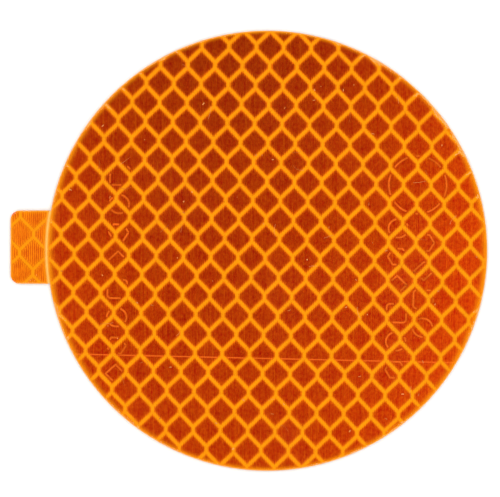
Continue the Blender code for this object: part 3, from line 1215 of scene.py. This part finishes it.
def build_object():
    """The liner, the disc's layers with their marks and scuffs, and the tab's layers."""
    shared = {
        "adhesive": adhesive_material(),
        "backing": backing_material(),
        "edge": cut_edge_material(),
        "inner": inner_material(),
        "gloss": cover_material(),
    }
    build_liner(liner_material())

    cells = disc_cells()
    nodes = ("adhesive_layer", "backing_film", "seal_lattice", "prism_film", "cover_film")
    seal = seal_material("seal_amber", disc_edge_depth)
    build_sheeting("disc_", "reflector", disc_outline, cells, nodes, prism_material(), seal, shared)

    mark_low = heights("prism_film")[0] + PRISM_DEPTH + LAYER_GAP
    mark_materials = [mark_material("mark_orange", MARK_SHADE), mark_material("mark_edge", MARK_EDGE_SHADE)]
    marks = add_piece(marks_mesh("outline_marks", cells, mark_low), mark_materials)
    set_out(marks, "reflector", "prism_film")
    scuff_low = mark_low + 4.0 * MARK_THICKNESS
    scuffs = add_piece(scuffs_mesh("film_scuffs", scuff_low), [scuff_material()])
    set_out(scuffs, "reflector", "prism_film")

    nodes = ("tab_adhesive", "tab_backing_film", "tab_seal_lattice", "tab_prism_film", "tab_cover_film")
    seal = seal_material("tab_seal_amber", tab_edge_depth)
    build_sheeting("tab_", "tab", tab_outline, tab_cells(), nodes, tab_prism_material(), seal, shared)


# ---------------------------------------------------------------------------------------------
# Floor, light and camera
# ---------------------------------------------------------------------------------------------

FLOOR_HALF = 0.42
FLOOR_DROP = 0.005 * MM

SOFTBOX_DISTANCE = 0.75
SOFTBOX_ELEVATION = math.radians(60.0)
SOFTBOX_SIZE = 0.36
SOFTBOX_WATTS = 1.30

# The sky's strength low down and overhead, and the heights (sines) between which it fades
SKY_LOW = 1.08
SKY_OVERHEAD = 0.03
SKY_FADE_START = 0.60
SKY_FADE_END = 0.93

VIEW_WIDTH = 86.56 * MM
VIEW_CENTRE = (-2.978 * MM, 0.391 * MM)
LENS = 200.0
SENSOR = 36.0


def floor_material():
    g = Graph("floor_white")
    level = g.varied(g.noise(6.0, 2.0), 0.99, 1.0)
    g.set(Base_Color=g.brightened(FLOOR_WHITE, level), Roughness=0.8)
    g.shader.inputs["Specular IOR Level"].default_value = 0.1
    return g.material


def build_floor():
    mesh = bpy.data.meshes.new("floor")
    corners = [(x * FLOOR_HALF, y * FLOOR_HALF, 0.0) for x, y in ((-1, -1), (1, -1), (1, 1), (-1, 1))]
    mesh.from_pydata(corners, [], [range(4)])
    mesh.materials.append(floor_material())
    floor = bpy.data.objects.new("floor", mesh)
    floor.location.z = CAD_LOW.z - FLOOR_DROP
    bpy.context.scene.collection.objects.link(floor)


def build_world():
    """Soft white light from the sides, dark straight above, where a flat film would mirror it."""
    world = bpy.data.worlds.new("studio")
    bpy.context.scene.world = world
    world.use_nodes = True
    nodes = world.node_tree.nodes
    links = world.node_tree.links
    direction = nodes.new("ShaderNodeTexCoord")
    parts = nodes.new("ShaderNodeSeparateXYZ")
    fade = nodes.new("ShaderNodeMapRange")
    fade.interpolation_type = "SMOOTHSTEP"
    limits = (SKY_FADE_START, SKY_FADE_END, SKY_LOW, SKY_OVERHEAD)
    for socket, value in zip(fade.inputs[1:5], limits):
        socket.default_value = value
    links.new(direction.outputs["Generated"], parts.inputs[0])
    links.new(parts.outputs["Z"], fade.inputs[0])
    links.new(fade.outputs[0], nodes["Background"].inputs["Strength"])
    nodes["Background"].inputs["Color"].default_value = (1.0, 1.0, 1.0, 1.0)


def build_lights():
    """Four large soft boxes round the object, high enough to keep shadows short."""
    out = math.cos(SOFTBOX_ELEVATION)
    up = math.sin(SOFTBOX_ELEVATION)
    for number, azimuth in enumerate((45.0, 135.0, 225.0, 315.0)):
        data = bpy.data.lights.new(f"softbox_{number + 1}", "AREA")
        data.shape = "SQUARE"
        data.size = SOFTBOX_SIZE
        data.energy = SOFTBOX_WATTS
        light = bpy.data.objects.new(data.name, data)
        turn = math.radians(azimuth)
        light.location = Vector((math.cos(turn) * out, math.sin(turn) * out, up)) * SOFTBOX_DISTANCE
        light.rotation_mode = "QUATERNION"
        light.rotation_quaternion = (-light.location).to_track_quat("-Z", "Y")
        bpy.context.scene.collection.objects.link(light)


def build_camera():
    """Straight above, with a long lens, framed with the tab at the left."""
    data = bpy.data.cameras.new("camera")
    data.lens = LENS
    data.sensor_width = SENSOR
    camera = bpy.data.objects.new("camera", data)
    distance = VIEW_WIDTH * LENS / SENSOR
    camera.location = (*VIEW_CENTRE, CAD_HIGH.z + distance)
    data.clip_start = 0.01
    data.clip_end = 10.0
    bpy.context.scene.collection.objects.link(camera)
    bpy.context.scene.camera = camera


bpy.context.scene.view_settings.view_transform = "Standard"
build_camera()
build_object()
build_floor()
build_world()
build_lights()
